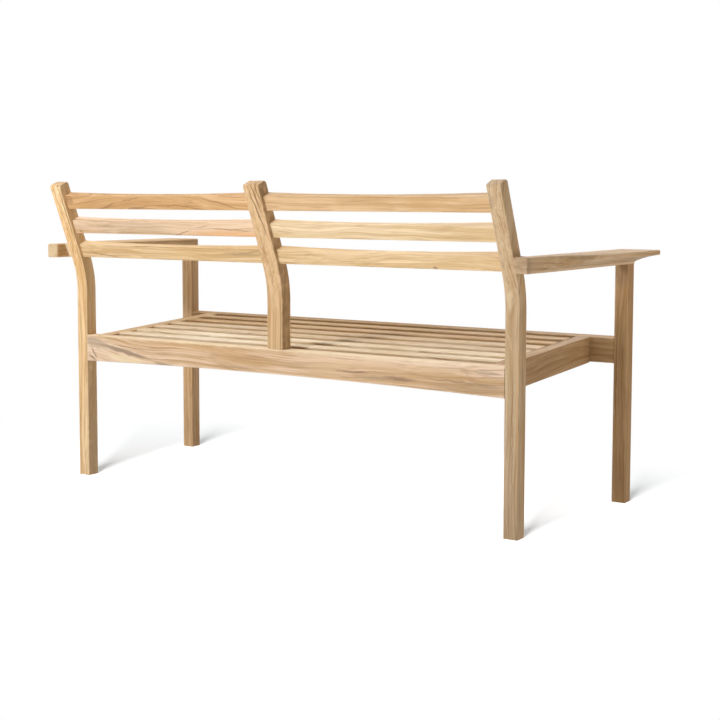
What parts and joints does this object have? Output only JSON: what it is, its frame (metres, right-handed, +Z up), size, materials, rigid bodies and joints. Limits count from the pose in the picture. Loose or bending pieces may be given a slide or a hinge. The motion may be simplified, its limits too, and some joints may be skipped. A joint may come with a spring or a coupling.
{
  "type": "garden bench",
  "caption": "Wooden garden bench with two slatted back bays, a slatted seat, bent back legs and flared armrests.",
  "frame": {"origin": "on the ground at the middle of the bench, half way between its side faces and between its front and rear", "axes": "+Z up, the bench's front faces -Y, +X to the right seen from the front"},
  "size_m": [1.7696, 0.6937, 0.893],
  "materials": {
    "teak": "sanded, unoiled, satin",
    "beech_dowel": "plain turned beech",
    "screw_steel": "plain stainless steel"
  },
  "bodies": {
    "root": {"armrest_dowels": "beech_dowel", "armrest_left": "teak", "armrest_right": "teak", "armrest_spacer_left": "teak", "armrest_spacer_right": "teak", "back_leg_left": "teak", "back_leg_right": "teak", "back_slat_left_1": "teak", "back_slat_left_2": "teak", "back_slat_left_3": "teak", "back_slat_right_1": "teak", "back_slat_right_2": "teak", "back_slat_right_3": "teak", "front_leg_left": "teak", "front_leg_right": "teak", "front_rail": "teak", "middle_back_post": "teak", "rear_rail": "teak", "seat_bearer": "teak", "seat_screws": "screw_steel", "seat_slat_1": "teak", "seat_slat_2": "teak", "seat_slat_3": "teak", "seat_slat_4": "teak", "seat_slat_5": "teak", "seat_slat_6": "teak", "side_rail_left": "teak", "side_rail_right": "teak"}
  },
  "joints": []
}
